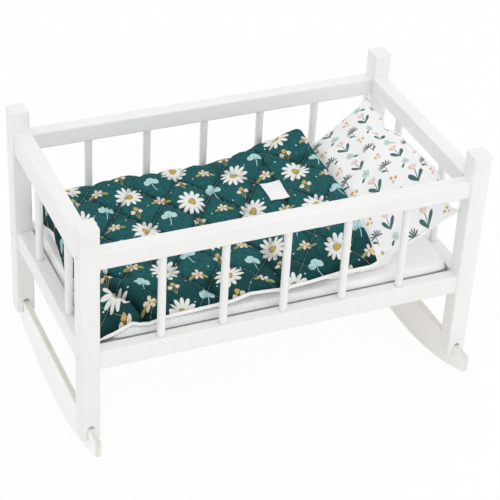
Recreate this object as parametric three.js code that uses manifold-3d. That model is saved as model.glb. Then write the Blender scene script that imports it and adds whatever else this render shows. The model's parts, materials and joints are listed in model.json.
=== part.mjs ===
// A doll's rocking cradle in white painted wood, with its mattress, pillow and quilt.
// Millimetres. X runs along the cradle to the head end, Y from the front side to the back, Z up.
// The origin is on the floor under the middle of the cradle, where the rockers touch it.

import * as THREE from 'three';
import { mergeVertices } from 'three/addons/utils/BufferGeometryUtils.js';
import Module from 'manifold-3d';

const wasm = await Module();
wasm.setup();

// Overall sizes

const cradleLength = 520;
const cradleWidth = 296;
const footAboveFloor = 42;

// Posts

const postSide = 24;
const postLength = 302.5;
const postEdgeRound = 2.6;
const postEndRound = 2;

// Rails

const railEdgeRound = 2.6;
const longRailThickness = 18;
const longTopRailHeight = 24;
const longTopRailDrop = 34.5;
const endRailThickness = 20;
const headRailHeight = 24;
const headRailDrop = 32.5;
const footRailHeight = 34;
const footRailDrop = 26.5;
const lowerRailHeight = 25.5;
const lowerRailRise = 102;

// Spindles

const spindleDiameter = 10;
const spindleSeat = 9;
const spindleEndEase = 0.8;
const longSideSpindles = 5;
const endSpindleSpacing = 120;

// Rockers

const rockerThickness = 8;
const rockerTopRise = 18;
const rockerArcRadius = 423;
const rockerOverhang = 27;
const rockerEdgeRound = 1.6;
const slotHeadroom = 0.6;

// Screws through the posts into the long rails

const screwDiameter = 4;
const screwHeadDiameter = 6.4;
const screwHeadDepth = 2.2;
const screwLength = 52;
const screwPoint = 6;
const screwAboveMiddle = 5;
const screwHeadSunk = 0.3;

// Dowels between the end rails and the posts

const dowelDiameter = 6;
const dowelLength = 30;
const dowelEase = 0.7;
const dowelAboveRailEdge = 6.5;

// Base board and its battens

const battenWidth = 12;
const battenHeight = 8;
const boardThickness = 4;
const boardClearance = 0.8;

// Mattress

const mattressClearance = 2.2;
const mattressThickness = 26;
const mattressCrown = 4;
const mattressSeamDip = 2.4;

// Pillow

const pillowLength = 170;
const pillowSideClearance = 2;
const pillowEndClearance = 0.5;
const pillowThickness = 30;
const pillowNoseHeight = 10;
const pillowRise = 104;
const pillowRiseBend = 1.5;
const pillowFrontDrop = 52;
const pillowDropReach = 150;
const pillowDropReachAtHead = 40;
const pillowCornerDraw = 9;

// Quilt

const quiltFootClearance = 8;
const quiltLength = 362;
const quiltFrontInset = 3;
const quiltBackInset = 3;
const quiltThickness = 14;
const quiltEdgeThickness = 5;
const quiltRampLength = 46;
const quiltBackRise = 31;
const quiltRiseFade = 90;
const quiltFoldHeight = 9;
const quiltFoldSpacing = 58;
const quiltFoldReach = 66;
const quiltOverPillowGap = 2;
const diamondSpacing = 48;
const channelDepth = 3.2;
const channelWidth = 15;

// Clearances

const fit = 0.3;
const softGap = 0.5;
const overrun = 5;

// Facets

const edgeSteps = 3;
const roundSides = 16;
const dowelSides = 12;
const screwSides = 10;
const rockerSteps = 23;

// Places worked out from the sizes

const postOffsetX = (cradleLength - postSide) / 2;
const postOffsetY = (cradleWidth - postSide) / 2;
const insideLength = cradleLength - postSide * 2;
const insideWidth = cradleWidth - postSide * 2;
const postTop = footAboveFloor + postLength;

const lowerRailBottom = footAboveFloor + lowerRailRise;
const lowerRailTop = lowerRailBottom + lowerRailHeight;
const lowerRailMiddle = lowerRailBottom + lowerRailHeight / 2;
const longTopRailTop = postTop - longTopRailDrop;
const longTopRailBottom = longTopRailTop - longTopRailHeight;
const longTopRailMiddle = longTopRailTop - longTopRailHeight / 2;
const headRailBottom = postTop - headRailDrop - headRailHeight;
const footRailBottom = postTop - footRailDrop - footRailHeight;

const longRailInnerFace = postOffsetY - longRailThickness / 2;
const endRailOffset = insideLength / 2 + endRailThickness / 2;
const endRailShift = postOffsetX - endRailOffset;

const rockerTop = footAboveFloor + rockerTopRise;
const rockerReach = cradleWidth / 2 + rockerOverhang;
const slotWidth = rockerThickness + fit * 2;
const boardBottom = lowerRailBottom + battenHeight;
const mattressBottom = boardBottom + boardThickness + fit;
const mattressTop = mattressBottom + mattressThickness;

// Materials

const paint = new THREE.MeshStandardMaterial({ color: 0xf2f2ef, roughness: 0.42, metalness: 0 });
const rockerPaint = new THREE.MeshStandardMaterial({ color: 0xeeeee9, roughness: 0.5, metalness: 0 });
const bareWood = new THREE.MeshStandardMaterial({ color: 0xd9bf95, roughness: 0.7, metalness: 0 });
const steel = new THREE.MeshStandardMaterial({ color: 0xb5b5b2, roughness: 0.35, metalness: 1 });
const mattressCloth = new THREE.MeshStandardMaterial({ color: 0xf3f3f4, roughness: 0.95, metalness: 0 });
const pillowCloth = new THREE.MeshStandardMaterial({ color: 0xf0eeee, roughness: 0.95, metalness: 0 });
const quiltCloth = new THREE.MeshStandardMaterial({ color: 0x17504f, roughness: 0.9, metalness: 0 });

const cradle = new THREE.Group();

// Helpers for solids

function addPiece(name, geometry, material, x, y, z) {
  const mesh = new THREE.Mesh(geometry, material.clone());
  mesh.name = name;
  mesh.position.set(x, y, z);
  cradle.add(mesh);
}

function toSolid(geometry) {
  const plain = geometry.index ? geometry.toNonIndexed() : geometry.clone();
  plain.deleteAttribute('normal');
  plain.deleteAttribute('uv');
  const merged = mergeVertices(plain);
  return new wasm.Manifold(new wasm.Mesh({
    numProp: 3,
    vertProperties: Float32Array.from(merged.attributes.position.array),
    triVerts: Uint32Array.from(merged.index.array),
  }));
}

function toGeometry(solid) {
  const mesh = solid.getMesh();
  const geometry = new THREE.BufferGeometry();
  geometry.setAttribute('position', new THREE.BufferAttribute(mesh.vertProperties, 3));
  geometry.setIndex(new THREE.BufferAttribute(mesh.triVerts, 1));
  geometry.computeVertexNormals();
  return geometry;
}

function cut(geometry, cutters) {
  let solid = toSolid(geometry);
  for (const cutter of cutters) {
    solid = solid.subtract(toSolid(cutter));
  }
  return toGeometry(solid);
}

// Turns a shape that was drawn across and up, and extruded, so that the extrusion runs along X.
function layAlongX(geometry) {
  const across = new THREE.Vector3(0, 1, 0);
  const up = new THREE.Vector3(0, 0, 1);
  const along = new THREE.Vector3(1, 0, 0);
  return geometry.applyMatrix4(new THREE.Matrix4().makeBasis(across, up, along));
}

function roundedRectangle(width, height, radius) {
  const x = width / 2;
  const y = height / 2;
  const shape = new THREE.Shape();
  shape.moveTo(x - radius, -y);
  shape.absarc(x - radius, -y + radius, radius, -Math.PI / 2, 0, false);
  shape.absarc(x - radius, y - radius, radius, 0, Math.PI / 2, false);
  shape.absarc(-x + radius, y - radius, radius, Math.PI / 2, Math.PI, false);
  shape.absarc(-x + radius, -y + radius, radius, Math.PI, Math.PI * 1.5, false);
  return shape;
}

// A bar along X with its long edges rounded, centred on its own middle.
function roundedBar(length, thickness, height) {
  const section = roundedRectangle(thickness, height, railEdgeRound);
  const bar = new THREE.ExtrudeGeometry(section, {
    depth: length, bevelEnabled: false, curveSegments: edgeSteps,
  });
  bar.translate(0, 0, -length / 2);
  return layAlongX(bar);
}

// A turned pin along Z from z = 0, with its two ends eased.
function turnedPin(diameter, length, ease, sides) {
  const radius = diameter / 2;
  const profile = [
    new THREE.Vector2(0, 0),
    new THREE.Vector2(radius - ease, 0),
    new THREE.Vector2(radius, ease),
    new THREE.Vector2(radius, length - ease),
    new THREE.Vector2(radius - ease, length),
    new THREE.Vector2(0, length),
  ];
  return new THREE.LatheGeometry(profile, sides).rotateX(Math.PI / 2);
}

// A round hole along Z from z = 0, wider than its pin by the fit all round.
function pinHole(diameter, depth, sides) {
  const hole = new THREE.CylinderGeometry(diameter / 2 + fit, diameter / 2 + fit, depth, sides);
  return hole.rotateX(Math.PI / 2).translate(0, 0, depth / 2);
}

// Screws: the profile runs from the head's flat top at z = 0 down to the point

function screwProfile(extra) {
  const shank = screwDiameter / 2 + extra;
  const head = screwHeadDiameter / 2 + extra;
  const headTop = extra > 0 ? overrun : -screwHeadSunk;
  return [
    new THREE.Vector2(0, -screwLength - extra),
    new THREE.Vector2(shank, -screwLength + screwPoint),
    new THREE.Vector2(shank, -screwHeadSunk - screwHeadDepth),
    new THREE.Vector2(head, -screwHeadSunk),
    new THREE.Vector2(head, headTop + extra),
    new THREE.Vector2(0, headTop + extra),
  ];
}

// The screw points along X: side is 1 where it is driven in from the head end, -1 from the foot end.
function screwForm(extra, side) {
  const profile = screwProfile(extra);
  if (extra === 0) {
    profile.splice(4, 1);
  }
  const form = new THREE.LatheGeometry(profile, screwSides).rotateX(Math.PI / 2);
  return form.rotateY(side * Math.PI / 2);
}

// Posts

function slotCutter() {
  const half = slotWidth / 2;
  const straight = rockerTopRise - rockerEdgeRound + slotHeadroom;
  const shape = new THREE.Shape();
  shape.moveTo(-half, -overrun);
  shape.lineTo(half, -overrun);
  shape.lineTo(half, straight);
  shape.absarc(0, straight, half, 0, Math.PI, false);
  const cutter = new THREE.ExtrudeGeometry(shape, {
    depth: postSide + overrun * 2, bevelEnabled: false, curveSegments: roundSides,
  });
  cutter.translate(0, 0, -postSide / 2 - overrun);
  return cutter.rotateX(Math.PI / 2);
}

function postBody() {
  const post = new THREE.ExtrudeGeometry(roundedRectangle(postSide, postSide, postEdgeRound), {
    depth: postLength - postEndRound * 2,
    bevelThickness: postEndRound,
    bevelSize: postEndRound,
    bevelOffset: -postEndRound,
    bevelSegments: edgeSteps,
    curveSegments: edgeSteps,
  });
  return post.translate(0, 0, postEndRound);
}

function screwLevels() {
  return [lowerRailMiddle + screwAboveMiddle, longTopRailMiddle + screwAboveMiddle];
}

function dowelLevels(endX) {
  const topRailBottom = endX > 0 ? headRailBottom : footRailBottom;
  return [lowerRailBottom + dowelAboveRailEdge, topRailBottom + dowelAboveRailEdge];
}

function makePost(name, endX, sideY) {
  const cutters = [slotCutter()];
  for (const level of screwLevels()) {
    const hole = screwForm(fit, endX);
    cutters.push(hole.translate(endX * postSide / 2, 0, level - footAboveFloor));
  }
  for (const level of dowelLevels(endX)) {
    const hole = pinHole(dowelDiameter, dowelLength / 2 + fit + overrun, dowelSides);
    hole.translate(0, 0, -overrun).rotateX(-sideY * Math.PI / 2);
    cutters.push(hole.translate(-endX * endRailShift, -sideY * postSide / 2, level - footAboveFloor));
  }
  const x = endX * postOffsetX;
  addPiece(name, cut(postBody(), cutters), paint, x, sideY * postOffsetY, footAboveFloor);
}

// Rails. Each spindle seats in a blind hole in the lower rail's top and in the top rail's underside.

function longSidePlaces() {
  const step = insideLength / (longSideSpindles + 1);
  return Array.from({ length: longSideSpindles }, (_, n) => step * (n + 1) - insideLength / 2);
}

function endPlaces() {
  return [-endSpindleSpacing / 2, endSpindleSpacing / 2];
}

function spindleHoles(places, height, opensUp) {
  const depth = spindleSeat + fit;
  return places.map((place) => {
    const hole = pinHole(spindleDiameter, depth + overrun, roundSides);
    return hole.translate(place, 0, opensUp ? height / 2 - depth : -height / 2 - overrun);
  });
}

function makeLongRail(name, sideY, height, middle, opensUp) {
  const cutters = spindleHoles(longSidePlaces(), height, opensUp);
  for (const endX of [-1, 1]) {
    cutters.push(screwForm(fit, endX).translate(endX * cradleLength / 2, 0, screwAboveMiddle));
  }
  const rail = cut(roundedBar(insideLength, longRailThickness, height), cutters);
  addPiece(name, rail, paint, 0, sideY * postOffsetY, middle);
}

function makeEndRail(name, endX, height, bottom, opensUp) {
  const cutters = spindleHoles(endPlaces(), height, opensUp);
  for (const sideY of [-1, 1]) {
    const hole = pinHole(dowelDiameter, dowelLength / 2 + fit + overrun, dowelSides);
    hole.translate(0, 0, -overrun).rotateY(-sideY * Math.PI / 2);
    cutters.push(hole.translate(sideY * insideWidth / 2, 0, dowelAboveRailEdge - height / 2));
  }
  const rail = cut(roundedBar(insideWidth, endRailThickness, height), cutters);
  rail.rotateZ(Math.PI / 2);
  addPiece(name, rail, paint, endX * endRailOffset, 0, bottom + height / 2);
}

// Spindles

function makeSpindle(name, x, y, topRailBottom) {
  const length = topRailBottom - lowerRailTop + spindleSeat * 2;
  const spindle = turnedPin(spindleDiameter, length, spindleEndEase, roundSides);
  addPiece(name, spindle, paint, x, y, lowerRailTop - spindleSeat);
}

// Fasteners inside the joints

function makeScrews(side, sideY) {
  const levelNames = ['lower', 'top'];
  screwLevels().forEach((level, n) => {
    for (const endX of [-1, 1]) {
      const end = endX > 0 ? 'head' : 'foot';
      const x = endX * cradleLength / 2;
      addPiece(`screw_${side}_${end}_${levelNames[n]}`, screwForm(0, endX), steel, x, sideY * postOffsetY, level);
    }
  });
}

function makeDowels(side, sideY) {
  const levelNames = ['lower', 'top'];
  for (const endX of [-1, 1]) {
    const end = endX > 0 ? 'head' : 'foot';
    dowelLevels(endX).forEach((level, n) => {
      const dowel = turnedPin(dowelDiameter, dowelLength, dowelEase, dowelSides);
      dowel.translate(0, 0, -dowelLength / 2).rotateX(-sideY * Math.PI / 2);
      const y = sideY * insideWidth / 2;
      addPiece(`dowel_${side}_${end}_${levelNames[n]}`, dowel, bareWood, endX * endRailOffset, y, level);
    });
  }
}

// Rockers: a straight top edge over an arc, made of an odd number of steps so that it rests on a flat one

function rockerOutline() {
  const reachAngle = Math.asin(rockerReach / rockerArcRadius);
  const stepAngle = reachAngle * 2 / rockerSteps;
  const circumscribed = rockerArcRadius / Math.cos(stepAngle / 2);
  const shape = new THREE.Shape();
  shape.moveTo(rockerReach, rockerTop);
  shape.lineTo(-rockerReach, rockerTop);
  for (let n = 0; n <= rockerSteps; n += 1) {
    const angle = stepAngle * n - reachAngle;
    const y = Math.max(-rockerReach, Math.min(rockerReach, circumscribed * Math.sin(angle)));
    shape.lineTo(y, rockerArcRadius - circumscribed * Math.cos(angle));
  }
  return shape;
}

function makeRocker(name, endX) {
  const rocker = new THREE.ExtrudeGeometry(rockerOutline(), {
    depth: rockerThickness - rockerEdgeRound * 2,
    bevelThickness: rockerEdgeRound,
    bevelSize: rockerEdgeRound,
    bevelOffset: -rockerEdgeRound,
    bevelSegments: 3,
    curveSegments: 1,
  });
  rocker.translate(0, 0, rockerEdgeRound - rockerThickness / 2);
  addPiece(name, layAlongX(rocker), rockerPaint, endX * postOffsetX, 0, 0);
}

// Base board on two battens

function makeBase() {
  const batten = new THREE.BoxGeometry(insideLength, battenWidth, battenHeight);
  const battenY = longRailInnerFace - battenWidth / 2;
  const battenZ = lowerRailBottom + battenHeight / 2;
  addPiece('batten_front', batten, bareWood, 0, -battenY, battenZ);
  addPiece('batten_back', batten.clone(), bareWood, 0, battenY, battenZ);
  const length = insideLength - boardClearance * 2;
  const width = insideWidth - boardClearance * 2;
  const board = new THREE.BoxGeometry(length, width, boardThickness);
  addPiece('base_board', board, bareWood, 0, 0, boardBottom + boardThickness / 2);
}

// Soft pads. Each is two grids that meet at a seam all round. A grid place (s, t) runs from -1 to 1
// both ways, and height(s, t) gives how full the pad is there: 1 inside, 0 at the seam.

function smoothStep(value) {
  const x = Math.max(0, Math.min(1, value));
  return x * x * (3 - x * 2);
}

function fullness(place, sharpness) {
  return Math.sqrt(Math.max(0, 1 - Math.abs(place) ** sharpness));
}

function gridPlace(n, steps, crowding) {
  const even = n * 2 / steps - 1;
  return even * (1 - crowding) + Math.sin(even * Math.PI / 2) * crowding;
}

function padGeometry(stepsAlong, stepsAcross, crowding, upper, lower) {
  const points = [];
  const faces = [];
  const columns = stepsAcross + 1;
  const upperIndex = (i, j) => i * columns + j;
  const lowerIndexes = new Map();
  for (let i = 0; i <= stepsAlong; i += 1) {
    for (let j = 0; j <= stepsAcross; j += 1) {
      points.push(...upper(gridPlace(i, stepsAlong, crowding), gridPlace(j, stepsAcross, crowding)));
    }
  }
  for (let i = 1; i < stepsAlong; i += 1) {
    for (let j = 1; j < stepsAcross; j += 1) {
      lowerIndexes.set(upperIndex(i, j), points.length / 3);
      points.push(...lower(gridPlace(i, stepsAlong, crowding), gridPlace(j, stepsAcross, crowding)));
    }
  }
  const lowerIndex = (i, j) => lowerIndexes.get(upperIndex(i, j)) ?? upperIndex(i, j);
  for (let i = 0; i < stepsAlong; i += 1) {
    for (let j = 0; j < stepsAcross; j += 1) {
      const corners = [[i, j], [i + 1, j], [i + 1, j + 1], [i, j + 1]];
      const [a, b, c, d] = corners.map((corner) => upperIndex(...corner));
      const [e, f, g, h] = corners.map((corner) => lowerIndex(...corner));
      faces.push(a, b, c, a, c, d);
      faces.push(e, g, f, e, h, g);
    }
  }
  const geometry = new THREE.BufferGeometry();
  geometry.setAttribute('position', new THREE.Float32BufferAttribute(points, 3));
  geometry.setIndex(faces);
  geometry.computeVertexNormals();
  return geometry;
}

// Mattress: a boxed pad with a low crown and its seam drawn in round the middle of the sides

const mattressHalfLength = insideLength / 2 - mattressClearance;
const mattressHalfWidth = insideWidth / 2 - mattressClearance;
const mattressSharpness = 22;

function mattressFill(s, t) {
  return fullness(s, mattressSharpness) * fullness(t, mattressSharpness);
}

function mattressTopAt(x, y) {
  const s = Math.min(1, Math.abs(x / mattressHalfLength));
  const t = Math.min(1, Math.abs(y / mattressHalfWidth));
  const crown = mattressCrown * (1 - s ** 4) * (1 - t ** 4);
  const body = mattressThickness - mattressCrown;
  const seam = mattressBottom + body / 2 - mattressSeamDip;
  return seam + (mattressBottom + body - seam) * mattressFill(s, t) + crown;
}

function makeMattress() {
  const seam = mattressBottom + (mattressThickness - mattressCrown) / 2 - mattressSeamDip;
  const upper = (s, t) => {
    const x = s * mattressHalfLength;
    const y = t * mattressHalfWidth;
    return [x, y, mattressTopAt(x, y)];
  };
  const lower = (s, t) => {
    const z = seam - (seam - mattressBottom) * mattressFill(s, t);
    return [s * mattressHalfLength, t * mattressHalfWidth, z];
  };
  addPiece('mattress', padGeometry(30, 20, 0.85, upper, lower), mattressCloth, 0, 0, 0);
}

// Pillow: its lower end lies on the mattress, its upper end leans on the head end, and its front edge drops

const pillowEnd = insideLength / 2 - pillowEndClearance;
const pillowStart = pillowEnd - pillowLength;
const pillowHalfWidth = insideWidth / 2 - pillowSideClearance;
const pillowSharpness = 3;

function pillowFill(s, t) {
  return fullness(Math.min(1, Math.abs(s)), pillowSharpness) * fullness(Math.min(1, Math.abs(t)), pillowSharpness);
}

// The seam level slopes up ever more steeply to the head end. It drops towards the front edge, over a
// reach that is long at the lower end and short at the head end.
function pillowSeamAt(x, y) {
  const along = Math.max(0, x - pillowStart) / pillowLength;
  const reach = pillowDropReach - (pillowDropReach - pillowDropReachAtHead) * Math.min(1, along) ** 2;
  const drop = pillowFrontDrop * along * smoothStep(1 - (y + pillowHalfWidth) / reach);
  return mattressTop + softGap + pillowNoseHeight + pillowRise * along ** pillowRiseBend - drop;
}

function pillowTopAt(x, y) {
  const s = (x - pillowStart) / pillowLength * 2 - 1;
  return pillowSeamAt(x, y) + pillowThickness / 2 * pillowFill(s, y / pillowHalfWidth);
}

function makePillow() {
  const place = (s, t) => {
    const drawnIn = 1 - pillowCornerDraw / pillowHalfWidth * (1 - Math.abs(s) ** 2) * Math.abs(t) ** 3 / 2;
    return [pillowStart + (s + 1) / 2 * pillowLength, t * pillowHalfWidth * drawnIn];
  };
  const surface = (side) => (s, t) => {
    const [x, y] = place(s, t);
    return [x, y, pillowSeamAt(x, y) + side * pillowThickness / 2 * pillowFill(s, t)];
  };
  addPiece('pillow', padGeometry(22, 26, 0.6, surface(1), surface(-1)), pillowCloth, 0, 0, 0);
}

// Quilt: it lies on the mattress and over the pillow's lower end. Its back is tucked under, so it grows
// thicker towards the back. It has a fold by the front edge near the foot end, and is sewn in diamonds

const quiltStart = -insideLength / 2 + quiltFootClearance;
const quiltEnd = quiltStart + quiltLength;
const quiltFront = -insideWidth / 2 + quiltFrontInset;
const quiltBack = insideWidth / 2 - quiltBackInset;
const quiltSharpness = 12;

function quiltRestAt(x, y) {
  const overPillow = smoothStep((x - pillowStart + quiltRampLength) / quiltRampLength);
  const bed = mattressTop;
  const pillow = Math.max(0, pillowTopAt(Math.max(x, pillowStart), y) - bed) + quiltOverPillowGap;
  return bed + pillow * overPillow + softGap;
}

function quiltLiftAt(x, y) {
  const back = (y - quiltFront) / (quiltBack - quiltFront);
  const rise = quiltBackRise * smoothStep(back) * smoothStep((quiltEnd - x) / quiltRiseFade);
  const fromFront = (y - quiltFront) / quiltFoldReach;
  const fold = Math.max(0, 1 - fromFront) ** 2;
  const wave = (1 + Math.cos((x - quiltStart) / quiltFoldSpacing * Math.PI * 2)) / 2;
  const nearFoot = 1 - smoothStep((x - quiltStart - quiltFoldSpacing) / quiltFoldSpacing);
  return rise + quiltFoldHeight * fold * wave * nearFoot;
}

// How deep the nearest stitched channel is at a place, from 1 on the stitching to 0 away from it.
function channelAt(x, y) {
  const distance = (along) => {
    const across = along / diamondSpacing - Math.round(along / diamondSpacing);
    return Math.abs(across) * diamondSpacing;
  };
  const nearest = Math.min(distance((x + y) / Math.SQRT2), distance((x - y) / Math.SQRT2));
  return Math.max(0, 1 - nearest / channelWidth) ** 2;
}

function makeQuilt() {
  const place = (s, t) => {
    const x = quiltStart + (s + 1) / 2 * quiltLength;
    const y = quiltFront + (t + 1) / 2 * (quiltBack - quiltFront);
    return [x, y, quiltRestAt(x, y)];
  };
  const fill = (s, t) => fullness(s, quiltSharpness) * fullness(t, quiltSharpness);
  const upper = (s, t) => {
    const [x, y, z] = place(s, t);
    const loft = quiltThickness + quiltLiftAt(x, y) - channelDepth * channelAt(x, y);
    return [x, y, z + quiltEdgeThickness / 2 + (loft - quiltEdgeThickness / 2) * fill(s, t)];
  };
  const lower = (s, t) => {
    const [x, y, z] = place(s, t);
    return [x, y, z + quiltEdgeThickness / 2 * (1 - fill(s, t))];
  };
  addPiece('quilt', padGeometry(34, 18, 0.35, upper, lower), quiltCloth, 0, 0, 0);
}

// Assembly

function makeFrame() {
  const sides = [['front', -1], ['back', 1]];
  for (const [side, sideY] of sides) {
    makePost(`post_${side}_foot`, -1, sideY);
    makePost(`post_${side}_head`, 1, sideY);
    makeLongRail(`lower_rail_${side}`, sideY, lowerRailHeight, lowerRailMiddle, true);
    makeLongRail(`top_rail_${side}`, sideY, longTopRailHeight, longTopRailMiddle, false);
    makeScrews(side, sideY);
    makeDowels(side, sideY);
    longSidePlaces().forEach((x, n) => {
      makeSpindle(`spindle_${side}_${n + 1}`, x, sideY * postOffsetY, longTopRailBottom);
    });
  }
  makeEndRail('lower_rail_foot', -1, lowerRailHeight, lowerRailBottom, true);
  makeEndRail('lower_rail_head', 1, lowerRailHeight, lowerRailBottom, true);
  makeEndRail('top_rail_foot', -1, footRailHeight, footRailBottom, false);
  makeEndRail('top_rail_head', 1, headRailHeight, headRailBottom, false);
  endPlaces().forEach((y, n) => {
    makeSpindle(`spindle_foot_${n + 1}`, -endRailOffset, y, footRailBottom);
    makeSpindle(`spindle_head_${n + 1}`, endRailOffset, y, headRailBottom);
  });
  makeRocker('rocker_foot', -1);
  makeRocker('rocker_head', 1);
}

makeFrame();
makeBase();
makeMattress();
makePillow();
makeQuilt();

export default cradle;
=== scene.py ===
"""Looks for a doll's rocking cradle: white painted wood, a waffle mattress, a printed pillow and a quilt.

Metres, in the CAD frame: X runs to the head end, Y from the front side to the back, Z up, floor at Z = 0.
"""

import json
import math

import bmesh
import bpy
import numpy as np
from mathutils import Matrix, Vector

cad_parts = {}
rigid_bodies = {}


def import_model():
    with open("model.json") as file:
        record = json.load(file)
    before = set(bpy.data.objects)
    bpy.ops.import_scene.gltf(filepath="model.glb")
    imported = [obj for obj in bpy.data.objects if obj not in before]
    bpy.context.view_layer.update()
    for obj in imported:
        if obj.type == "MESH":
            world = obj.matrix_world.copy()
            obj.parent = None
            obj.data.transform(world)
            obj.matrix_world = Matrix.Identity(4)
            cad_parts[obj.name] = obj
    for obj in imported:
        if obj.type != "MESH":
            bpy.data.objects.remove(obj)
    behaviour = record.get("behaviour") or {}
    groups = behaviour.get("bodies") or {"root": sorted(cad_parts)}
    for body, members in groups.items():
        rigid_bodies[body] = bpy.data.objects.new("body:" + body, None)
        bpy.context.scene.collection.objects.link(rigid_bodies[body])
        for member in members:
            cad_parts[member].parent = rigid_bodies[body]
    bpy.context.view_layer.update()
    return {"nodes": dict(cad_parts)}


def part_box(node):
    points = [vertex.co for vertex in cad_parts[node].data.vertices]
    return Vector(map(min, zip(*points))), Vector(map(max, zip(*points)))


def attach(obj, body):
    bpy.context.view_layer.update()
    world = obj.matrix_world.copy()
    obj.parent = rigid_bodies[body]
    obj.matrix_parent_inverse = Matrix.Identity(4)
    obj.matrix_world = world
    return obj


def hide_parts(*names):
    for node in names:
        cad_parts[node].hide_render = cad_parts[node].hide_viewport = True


for leftover in list(bpy.data.objects):
    bpy.data.objects.remove(leftover)

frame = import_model()
nodes = frame["nodes"]

MM = 0.001

# Camera, fitted to the photograph's view of the wooden frame

camera_place = (-0.7199, -1.5992, 1.3736)
camera_azimuth = math.radians(-24.65)
camera_elevation = math.radians(34.49)
camera_roll = math.radians(3.45)
camera_lens = 120.24
camera_sensor = 36.0

# Light: the strength of the even surround, and for each lamp its place, its size and its power

lamp_target = (0, 0, 0.2)
sky_strength = 0.945
floor_tone = 0.92
floor_glow = 0.93
lamps = {
    "front": ((0.3, -1.2, 2.0), 1.6, 3.6),
    "side": ((-2.0, -0.4, 0.1), 1.2, 0.8),
    "head": ((1.1, -1.2, 0.6), 1.0, 1.0),
}

# Wooden pieces

spindle_names = [name for name in nodes if name.startswith("spindle_")]
rocker_radius = 423 * MM
rocker_edge = 1.6 * MM
rocker_arc_points = 121
rocker_top_points = 40
ply_pitch = 1.6 * MM
spindle_sides = 40
spindle_shares = np.array([0, 0.004, 0.012, 0.1, 0.25, 0.5, 0.75, 0.9, 0.988, 0.996, 1.0])
screw_paint_start = 257 * MM

# Mattress

mattress_low, mattress_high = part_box("mattress")
mattress_top = mattress_high.z
mattress_crown = 4 * MM
mattress_round = 5 * MM
mattress_seam = mattress_low.z + 5 * MM
mattress_grid = (250, 140)
mattress_crowding = 0.94
mattress_dents = ((34, 0.7, 5), (13, 0.35, 6))
corner_pleat = 1.1 * MM
pleats_round_corner = 11
side_bulge = 2.8 * MM
head_swell = 3 * MM
tuft_swell = 4 * MM
foot_press = 4 * MM
tuft_centre = (mattress_high.x - 9 * MM, 9 * MM - mattress_high.y)
tuft_height = 4.5 * MM
tuft_pleat = 1.6 * MM
# Painted shadow: the height up to which the mattress cover is painted dark grey along the rails
gap_shadow_top = mattress_low.z + 11.8 * MM
waffle_cell = 3 * MM
corner_pinch = 7 * MM
corner_reach = 30 * MM

# Pillow: the same form as its CAD solid, cut a little smaller so that it can swell

pillow_low, pillow_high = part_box("pillow")
pillow_start = pillow_low.x
pillow_length = pillow_high.x - pillow_low.x
pillow_half = 122 * MM
pillow_thickness = 30 * MM
pillow_under_quilt = 0.74
pillow_nose = 10 * MM
pillow_rise = 104 * MM
pillow_rise_bend = 1.5
pillow_drop = 52 * MM
pillow_drop_reach = 150 * MM
pillow_drop_reach_at_head = 40 * MM
pillow_ear = 10 * MM
pillow_grid = (54, 74)
pillow_crowding = 0.5
pillow_seam_points = 481
pillow_lies_to = 172 * MM
pillow_carries = (-118 * MM, 112 * MM)
pillow_wrinkles = ((21, 2.2, 31), (9, 1.1, 32))
gather_depth = 1.6 * MM
gather_pitch = 2.9 * MM
gather_reach = 15 * MM
flip_up, flip_out = 16 * MM, 8.5 * MM
pillow_seam_radius = 0.9 * MM
pillow_front_seam_radius = 1.7 * MM
head_dip = 6 * MM
side_draw = 5 * MM
pillow_print_stretch = 1.18
pillow_cloth = {
    "quality": 6,
    "mass": 0.15,
    "tension_stiffness": 12,
    "compression_stiffness": 12,
    "bending_stiffness": 0.25,
    "use_pressure": True,
    "uniform_pressure_force": 3.0,
    "shrink_min": -0.06,
}
swelling_frames = 20
swell_at_seam = 1.5 * MM
swell_inside = 6 * MM

# Quilt: its plan, its seam above what it lies on, its loft, and the roll along its tucked back edge

quilt_low, quilt_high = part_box("quilt")
quilt_length = quilt_high.x - quilt_low.x
quilt_width = quilt_high.y - quilt_low.y
quilt_seam = 4.6 * MM
quilt_loft = 8 * MM
quilt_edge_round = 9 * MM
quilt_back_rise = 37 * MM
quilt_ramp = 64 * MM
quilt_rise_fade = 90 * MM
quilt_puff = 7.5 * MM
roll_reach = 13 * MM
roll_turn = math.radians(150)
roll_cloth = 56 * MM
quilt_grid = (250, 186)
quilt_crowding = 0.35
quilt_crest = 16 * MM
crest_start = (72 * MM, 62 * MM)
lobe_end = quilt_low.x + 50 * MM
hang_start = 40 * MM
hang_width = 55 * MM
quilt_waves = ((58, 1.8, 11), (24, 1.3, 12))
quilt_crinkle = ((9, 0.6, 24), (5, 0.3, 25))
pucker_height = 0.85 * MM
pucker_turn = 38
front_flattening = 0.3
deep_crease = 9 * MM
deep_crease_start = (-168 * MM, -120 * MM)
deep_crease_lean = 0.6
fine_hollow = 1.6 * MM
fine_hollow_share = 0.35
broad_hollow = 5 * MM
smoothing_steps = 160
fine_smoothing_step = 13
foot_fall_start = quilt_low.x + 11 * MM
foot_fall_width = 15 * MM
foot_stand_off = 5 * MM
cloth_in_fall = 0.8
hem_reach = 42 * MM
piping_points = 901
piping_radius = 0.8 * MM
piping_more_in_front = 1.5 * MM
front_fold_reach = 78 * MM
diamond_along = 63 * MM
diamond_across = 76 * MM
diamond_start = (-84 * MM, -97 * MM)
soft_gap = 0.5 * MM

# The quilt's hems: places along the edge, and the height of the seam at each

foot_hem = np.array([(-121, -60, -18, 15, 51, 57, 78, 99, 118), (168, 165, 169, 181, 194, 207, 200, 191, 189)]) * MM
front_hem = MM * np.array(
    [
        (-228, -210, -188, -178, -166, -146, -80, -61, -38, -22, 3, 13, 41, 82, 95, 123, 134),
        (168, 175, 185, 181, 179, 184, 186, 187, 193, 192, 189, 190, 192, 196, 196, 196, 200),
    ]
)
seam_below_hem = quilt_seam + 1 * MM

# The front hem's soft folds: place along the hem, height and width in millimetres

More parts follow.
